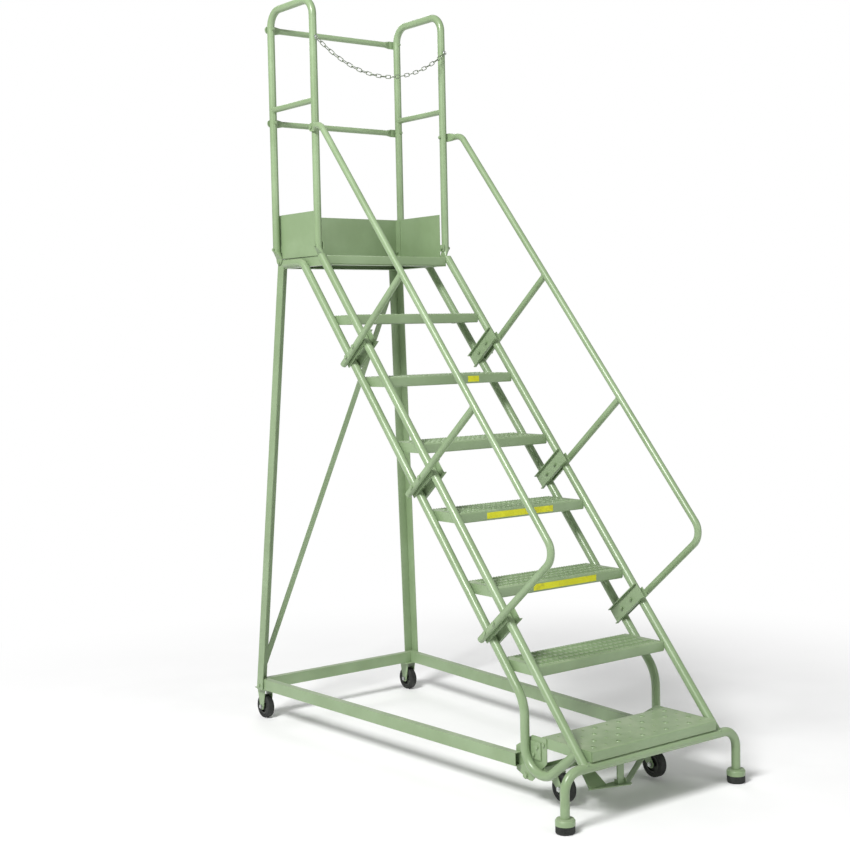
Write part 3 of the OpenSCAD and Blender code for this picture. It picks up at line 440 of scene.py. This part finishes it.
def pressed_sheet(shells, width, depth, place, holes):
    """Flat sheet between the two folded edges. Each hole is (centre, outline, rings), and a ring is
    (share in X, share in Y, height, tooth height): the outline scaled about the centre."""
    side, back = width / 2, depth - EDGE
    border = [(-side, EDGE), (side, EDGE), (side, back), (-side, back)]
    flat = [Vector(p) for p in border]
    loops = [[0, 1, 2, 3]]
    for _, outline, _ in holes:
        loops.append(list(range(len(flat), len(flat) + len(outline))))
        flat.extend(Vector((x, min(max(y, EDGE + 0.5), depth - EDGE - 0.5))) for x, y in outline)
    verts, _, faces, vert_origin, _, face_origin = delaunay_2d_cdt(flat, [], loops, 1, 1e-5)
    kept = [f for f, source in zip(faces, face_origin) if list(source) == [0]]
    made = {source: i for i, sources in enumerate(vert_origin) for source in sources}
    top = shells.ring([(place[0] + v.x, place[1] + v.y, place[2]) for v in verts])
    low = shells.ring([(place[0] + v.x, place[1] + v.y, place[2] - SHEET) for v in verts])
    shells.faces.extend(tuple(top[i] for i in f) for f in kept)
    shells.faces.extend(tuple(low[i] for i in reversed(f)) for f in kept)
    shells.bridge([top[made[i]] for i in range(4)], [low[made[i]] for i in range(4)])
    for loop, (centre, _, rings) in zip(loops[1:], holes):
        rim = [made[i] for i in loop]
        around = [[top[i] for i in rim]]
        for share_x, share_y, height, tooth in rings:
            around.append(shells.ring([
                (
                    place[0] + centre[0] + (verts[i].x - centre[0]) * share_x,
                    place[1] + centre[1] + (verts[i].y - centre[1]) * share_y,
                    place[2] + height + (tooth if k % 2 else 0.0),
                )
                for k, i in enumerate(rim)
            ]))
        around.append([low[i] for i in rim])
        for a, b in zip(around, around[1:]):
            shells.bridge(a, b)


def folded_edges(shells, width, depth, height, place):
    """Rounded bend, wall and turned-in lip along the front and the back."""
    r = BEND - SHEET
    upper, lower = (BEND, -BEND), (BEND, BEND - height)
    outer = [(EDGE, 0)] + arc(upper, BEND, 90, 180) + arc(lower, BEND, 180, 270)
    lip = [(LIP_END, -height), (LIP_END, SHEET - height)]
    inner = arc(lower, r, 270, 180) + arc(upper, r, 180, 90) + [(EDGE, -SHEET)]
    section = outer + lip + inner
    for turned in (False, True):
        shells.sweep([
            [(x, place[1] + (depth - y if turned else y), place[2] + z) for y, z in section]
            for x in (place[0] - width / 2, place[0] + width / 2)
        ])


def grid_plank(shells, width, depth, height, rows, place):
    """Pressed plank with staggered rows of serrated openings, whose walls are folded down."""
    cols = int((width - 24) // GRID_PITCH)
    row_pitch = (depth - 2 * EDGE) / rows
    rings = [
        (0.94, 0.97, 1.6, 0.9), (0.86, 0.93, 1.5, 0.9),
        (0.84, 0.92, -12, 0), (0.93, 0.96, -12, 0),
    ]
    holes = []
    for r in range(rows):
        for c in range(cols - r % 2):
            centre = ((c - (cols - 1 - r % 2) / 2) * GRID_PITCH, EDGE + (r + 0.5) * row_pitch)
            outline = hexagon(centre, OPENING_WIDTH, OPENING_HALF_LENGTH, OPENING_TAPER)
            holes.append((centre, outline, rings))
    pressed_sheet(shells, width, depth, place, holes)
    folded_edges(shells, width, depth, height, place)
    for y in (place[1] + RIDGE_INSET, place[1] + depth - RIDGE_INSET):
        serrated_ridge(shells, place[0] - width / 2 + 4, place[0] + width / 2 - 4, y, place[2])


def serrated_ridge(shells, start, end, y, z):
    """Row of low teeth pressed up along a folded edge."""
    count = 2 * round((end - start) / GRID_PITCH)
    rings = []
    for k in range(2 * count + 1):
        x = start + (end - start) * k / (2 * count)
        tooth = 2.6 if k % 2 else 0.3
        foot, crest = z - 0.4, z + tooth
        rings.append([
            (x, y - 2.2, foot), (x, y - 0.6, crest), (x, y + 0.6, crest), (x, y + 2.2, foot),
        ])
    shells.sweep(rings)


def end_plates(shells, low, high):
    """Upright plate that closes each end of a tread."""
    for x in (low.x, high.x - SHEET):
        shells.box((x, low.y + 3, low.z), (x + SHEET, high.y - 3, high.z - 0.5))


def treads():
    """The six open-grid treads and the platform's deck."""
    for n in GRID_TREADS:
        low, high = (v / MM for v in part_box(f"step_{n}"))
        shells = Shells()
        width = high.x - low.x - 2 * SHEET
        grid_plank(shells, width, high.y - low.y, high.z - low.z, 4, (0, low.y, high.z))
        end_plates(shells, low, high)
        dress(piece(f"tread_{n}", shells.mesh(f"tread_{n}"), f"step_{n}"), TREAD_PAINT)
    low, high = (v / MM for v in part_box("platform_deck"))
    shells = Shells()
    grid_plank(shells, high.x - low.x, high.y - low.y, high.z - low.z, 9, (0, low.y, high.z))
    dress(piece("deck_plank", shells.mesh("deck_plank"), "platform_deck"), TREAD_PAINT)


def bottom_tread():
    """Closed sheet with a chequered pattern of large and small raised holes."""
    low, high = (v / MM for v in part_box("step_1"))
    width, depth = high.x - low.x - 2 * SHEET, high.y - low.y
    large = [(0.82, 0.82, 2.6, 0), (0.68, 0.68, 2.4, 0), (0.64, 0.64, -SHEET, 0)]
    small = [(0.74, 0.74, 1.6, 0), (0.52, 0.52, 1.5, 0), (0.5, 0.5, -SHEET, 0)]
    holes = []
    for c in range(10):
        for r in range(4):
            centre = ((c - 4.5) * HOLE_PITCH, depth / 2 + (r - 1.5) * HOLE_PITCH)
            if (c + r) % 2:
                holes.append((centre, circle(centre, 7.0), small))
            else:
                holes.append((centre, circle(centre, 11.0), large))
    shells = Shells()
    pressed_sheet(shells, width, depth, (0, low.y, high.z), holes)
    folded_edges(shells, width, depth, high.z - low.z, (0, low.y, high.z))
    end_plates(shells, low, high)
    dress(piece("tread_1", shells.mesh("tread_1"), "step_1"), TREAD_PAINT)


# ---- Rubber ----------------------------------------------------------------

AXIS_GAP = 0.01
TYRE_BORE_RADIUS = 34.05
SHOULDER = 7.0


def feet():
    """Ribbed rubber feet with a chamfered sole."""
    for side in ("left", "right"):
        low, high = (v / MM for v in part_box(f"rubber_foot_{side}"))
        r, h = (high.x - low.x) / 2, high.z - low.z
        profile = [(AXIS_GAP, 0), (r - 5, 0), (r - 2.5, 0.8), (r - 0.6, 2.6), (r, 5)]
        for k in range(3):
            z = 8 + k * 5.4
            profile += [(r, z), (r - 1.7, z + 0.8), (r - 1.7, z + 1.8), (r, z + 2.6)]
        profile += [(r, h - 3), (r - 0.8, h - 1), (r - 3, h), (AXIS_GAP, h)]
        shells = Shells()
        shells.lathe(profile, ((low.x + high.x) / 2, (low.y + high.y) / 2, low.z), "Z")
        name = f"ribbed_foot_{side}"
        mesh = shells.mesh(name)
        dress(piece(name, mesh, f"rubber_foot_{side}"), FOOT_RUBBER)


def tyres():
    """Tyres with rounded shoulders, a mould seam and two ribs on each side wall."""
    for end in ("rear", "front"):
        for side in ("left", "right"):
            node = f"{end}_tyre_{side}"
            low, high = (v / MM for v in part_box(node))
            r, half = (high.y - low.y) / 2, (high.x - low.x) / 2
            inner = TYRE_BORE_RADIUS
            flank = [
                (inner, half - 1.2), (inner + 1.4, half), (inner + 3.4, half),
                (inner + 4.0, half - 0.9), (inner + 5.6, half - 0.9), (inner + 6.2, half),
            ]
            shoulder = arc((r - SHOULDER, half - SHOULDER), SHOULDER, 90, 0, 6)
            crown = [(r, 1.2), (r, 0.5), (r - 0.5, 0.35), (r - 0.5, -0.35), (r, -0.5), (r, -1.2)]
            profile = flank + shoulder + crown + [(a, -b) for a, b in reversed(flank + shoulder)]
            shells = Shells()
            shells.lathe(profile, [(a + b) / 2 for a, b in zip(low, high)], "X", 96)
            name = f"moulded_{node}"
            body = f"{end}_wheel_{side}"
            dress(piece(name, shells.mesh(name), node, body), TYRE_RUBBER)


# ---- Welds -----------------------------------------------------------------

RISE, RUN = 254.0, 215.5
TUBE_R, GUARD_R, BAR_R, RAIL_R = 16.7, 15.9, 12.7, 13.5
GUARD_POST_INSET = 21
BEND_SWELL = 0.2
RAIL_ABOVE_STRINGER = 615.5
FIRST_STRUT = 611.7
STRUT_SPACING = 658


def joint_path(point, branch, branch_r, main, main_r, steps=40):
    """Where a tube that leaves point along branch meets the surface of the tube along main."""
    branch, main = branch.normalized(), main.normalized()
    u = branch.orthogonal().normalized()
    v = branch.cross(u)
    path = []
    for k in range(steps):
        a = 2 * math.pi * k / steps
        out = branch_r * (math.cos(a) * u + math.sin(a) * v)
        p, q = out - out.dot(main) * main, branch - branch.dot(main) * main
        half_b, c = p.dot(q) / q.dot(q), (p.dot(p) - main_r * main_r) / q.dot(q)
        path.append(point + out + (-half_b + math.sqrt(max(half_b * half_b - c, 0))) * branch)
    return path


def welds():
    """Beads where tubes, treads and plates are welded together."""
    shells = Shells()
    x_axis, y_axis, z_axis = Vector((1, 0, 0)), Vector((0, 1, 0)), Vector((0, 0, 1))
    slope = math.atan2(RISE, RUN)
    up = Vector((0, math.cos(slope), math.sin(slope)))
    low, high = (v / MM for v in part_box("mid_rails"))
    rail_z = (low.z + high.z) / 2
    guard_low, guard_high = (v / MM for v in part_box("guard_frame_left"))
    for x in (low.x + BAR_R, high.x - BAR_R):
        for y, way in ((guard_low.y + GUARD_POST_INSET, 1), (guard_high.y - GUARD_POST_INSET, -1)):
            shells.bead(joint_path(Vector((x, y, rail_z)), way * y_axis, BAR_R, z_axis, GUARD_R))
    foot_low, foot_high = (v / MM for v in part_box("foot_tube"))
    stringer_low, stringer_high = (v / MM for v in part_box("front_stringer_right"))
    stringer_x = (stringer_low.x + stringer_high.x) / 2
    foot_y = (foot_low.y + foot_high.y) / 2
    foot_z = foot_high.z - TUBE_R - BEND_SWELL
    for side in (-1, 1):
        corner = Vector((side * stringer_x, foot_y, foot_z))
        shells.bead(joint_path(corner, up, TUBE_R, x_axis, TUBE_R), 3.0)
    across = Vector((0, math.sin(slope), -math.cos(slope)))
    rail_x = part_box("handrail_struts")[1].x / MM - RAIL_R
    first = Vector((0, foot_y, foot_z)) + FIRST_STRUT * up
    first -= across * RAIL_ABOVE_STRINGER * math.cos(slope)
    for side in (-1, 1):
        for i in (1, 2):
            start = first + i * STRUT_SPACING * up
            start.x = side * rail_x
            shells.bead(joint_path(start, across, RAIL_R, up, RAIL_R), 2.3)
    for n in GRID_TREADS:
        low, high = (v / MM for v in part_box(f"step_{n}"))
        for x in (low.x, high.x):
            front = [Vector((x, low.y + 1, low.z + 3 + 1.6 * k)) for k in range(20)]
            under = [Vector((x, high.y - 20 - 1.6 * k, low.z - 0.2)) for k in range(18)]
            shells.bead(front, 1.7, closed=False)
            shells.bead(under, 1.7, closed=False)
    dress(piece("weld_beads", shells.mesh("weld_beads"), None, smooth=70), PAINT)


random.seed(SEED)
treads()
bottom_tread()
feet()
tyres()
welds()


# ---- Stage, light and camera -----------------------------------------------


def stage():
    """Pale floor that glows plain white away from the ladder: painted light, a white emission that
    takes the place of its lit colour there.
    """
    reach = 60.0
    corners = [(-reach, -reach, 0), (reach, -reach, 0), (reach, reach, 0), (-reach, reach, 0)]
    mesh = bpy.data.meshes.new("floor")
    mesh.from_pydata(corners, [], [(0, 1, 2, 3)])
    floor = bpy.data.objects.new("floor", mesh)
    bpy.context.scene.collection.objects.link(floor)
    s = Shader("pale_floor")
    colour = s.mix(s.between(s.noise(1.2, 3), 0.3, 0.7), srgb(243, 243, 243), srgb(248, 248, 248))
    distance = s.node("ShaderNodeVectorMath", operation="LENGTH")
    s.feed(distance.inputs[0], s.coords)
    glow_share = s.between(distance.outputs["Value"], 1.1, 3.4)
    # Painted light: with distance from the ladder the floor's colour turns to black and a white
    # emission grows, so the floor glows white.
    s.feed(s.surface.inputs["Emission Color"], (1.0, 1.0, 1.0, 1.0))
    s.feed(s.surface.inputs["Emission Strength"], glow_share)
    colour = s.mix(glow_share, colour, (0.0, 0.0, 0.0))
    dress(floor, s.finish(colour, 0.95, s.bump(s.noise(30, 3), 0.1 * MM)))
    s.surface.inputs["Specular IOR Level"].default_value = 0.0


def area_light(name, place, aim, size, power):
    data = bpy.data.lights.new(name, "AREA")
    data.shape = "RECTANGLE"
    data.size, data.size_y = size
    data.energy = power
    lamp = bpy.data.objects.new(name, data)
    lamp.location = place
    lamp.rotation_euler = (Vector(aim) - Vector(place)).to_track_quat("-Z", "Y").to_euler()
    bpy.context.scene.collection.objects.link(lamp)


def lights():
    """Three soft lamps, and a world that the camera sees white but that lights the ladder less."""
    middle = (CAD_LOW + CAD_HIGH) / 2
    area_light("key", (-6.0, -2.0, 7.0), middle, (2.4, 2.4), 820)
    area_light("fill", (2.0, -8.0, 4.0), middle, (4.0, 3.0), 120)
    area_light("rim", (3.0, 6.5, 5.5), middle, (4.0, 3.0), 120)
    world = bpy.data.worlds.new("soft_surround")
    bpy.context.scene.world = world
    world.use_nodes = True
    tree = world.node_tree
    path = tree.nodes.new("ShaderNodeLightPath")
    share = tree.nodes.new("ShaderNodeMapRange")
    share.inputs["To Min"].default_value = 0.32
    share.inputs["To Max"].default_value = 1.0
    tree.links.new(path.outputs["Is Camera Ray"], share.inputs["Value"])
    background = tree.nodes["Background"]
    background.inputs["Color"].default_value = (1, 1, 1, 1)
    tree.links.new(share.outputs["Result"], background.inputs["Strength"])


def camera():
    """The camera stands at eye height in front of the ladder, on its -X side, and looks a little
    down, rolled by about a degree."""
    data = bpy.data.cameras.new("camera")
    data.sensor_width = 36.0
    data.lens = 62.41553
    data.shift_x = -0.0015294
    data.shift_y = -0.0121176
    data.clip_end = 200
    yaw, pitch, roll = -0.649, -0.054, -0.022
    forward = Vector((
        -math.sin(yaw) * math.cos(pitch), math.cos(yaw) * math.cos(pitch), math.sin(pitch)
    ))
    right = Vector((math.cos(yaw), math.sin(yaw), 0))
    up = right.cross(forward)
    tilted_right = math.cos(roll) * right + math.sin(roll) * up
    tilted_up = tilted_right.cross(forward)
    cam = bpy.data.objects.new("camera", data)
    turn = Matrix((tilted_right, tilted_up, -forward)).transposed().to_4x4()
    cam.matrix_world = Matrix.Translation((-3.739, -4.64575, 1.690)) @ turn
    bpy.context.scene.collection.objects.link(cam)
    bpy.context.scene.camera = cam


stage()
lights()
camera()
bpy.context.scene.view_settings.view_transform = "Standard"
